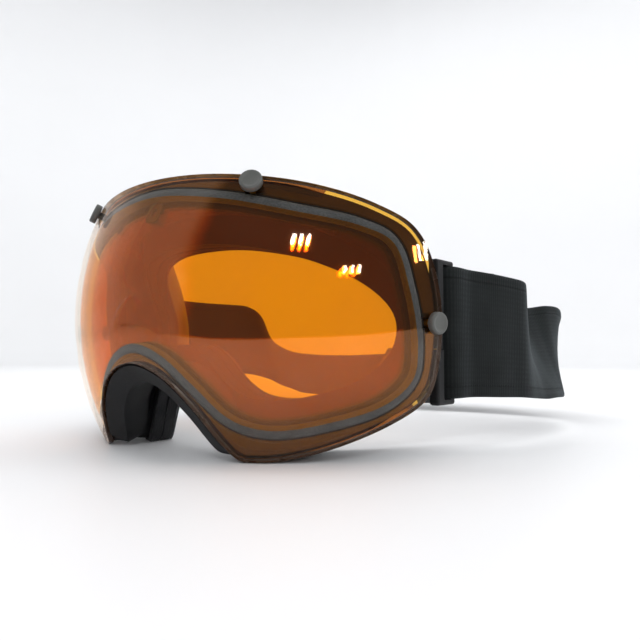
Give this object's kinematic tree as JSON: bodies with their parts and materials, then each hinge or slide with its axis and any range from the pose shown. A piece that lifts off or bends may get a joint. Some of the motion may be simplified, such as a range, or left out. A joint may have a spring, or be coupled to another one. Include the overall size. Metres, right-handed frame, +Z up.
{
  "type": "ski goggles",
  "caption": "Frameless ski goggles: a toric tinted lens unit held by push studs, soft frame with foam face seal, swinging strap carriers and a wide elastic strap with sliders.",
  "frame": {"origin": "centre of the bounding box's base, on the surface that the goggles stand on", "axes": "-Y is the way the lens faces, +X is the wearer's left, +Z is up"},
  "size_m": [0.2214, 0.2744, 0.0996],
  "materials": {
    "outer_lens": "amber tint with a copper mirror coat",
    "inner_lens": "clear amber",
    "gasket_foam": "matt closed-cell foam",
    "patch_film": "matt film",
    "stud": "satin grey",
    "frame": "matt black soft plastic",
    "vent_foam": "open-cell foam",
    "face_foam": "open-cell foam",
    "fleece": "short fleece",
    "outrigger": "satin black",
    "pin": "plain",
    "strap": "ribbed elastic webbing",
    "slider": "satin black"
  },
  "bodies": {
    "goggles": {"frame": "frame", "vent_foam_top": "vent_foam", "vent_foam_bottom_left": "vent_foam", "vent_foam_bottom_right": "vent_foam", "face_foam_base": "face_foam", "face_foam_soft": "face_foam", "face_fleece": "fleece", "hinge_pin_left": "pin", "hinge_pin_right": "pin", "strap_band_left": "strap", "strap_band_right": "strap"},
    "lens_cartridge": {"outer_lens": "outer_lens", "inner_lens": "inner_lens", "lens_gasket": "gasket_foam", "breather_patch": "patch_film", "lens_stud_brow_left": "stud", "lens_stud_brow_right": "stud", "lens_stud_temple_left": "stud", "lens_stud_temple_right": "stud"},
    "carrier_left": {"outrigger_left": "outrigger", "strap_end_left": "strap"},
    "carrier_right": {"outrigger_right": "outrigger", "strap_end_right": "strap"},
    "slider_left": {"strap_slider_left": "slider"},
    "slider_right": {"strap_slider_right": "slider"}
  },
  "joints": [
    {"name": "lens_release", "type": "slide", "parent": "goggles", "child": "lens_cartridge", "axis": [0, -1, 0], "range_m": [0, 0.04]},
    {"name": "carrier_hinge_left", "type": "hinge", "parent": "goggles", "child": "carrier_left", "pos_m": [0.0836, -0.06395, 0.0532], "axis": [0, 0, -1], "range_deg": [-8, 20]},
    {"name": "carrier_hinge_right", "type": "hinge", "parent": "goggles", "child": "carrier_right", "pos_m": [-0.0836, -0.06395, 0.0532], "axis": [0, 0, 1], "range_deg": [-8, 20]},
    {"name": "slider_travel_left", "type": "slide", "parent": "goggles", "child": "slider_left", "axis": [0.9992, 0, 0.041], "range_m": [-0.008, 0.008]},
    {"name": "slider_travel_right", "type": "slide", "parent": "goggles", "child": "slider_right", "axis": [0.9992, 0, 0.041], "range_m": [-0.008, 0.008]}
  ]
}
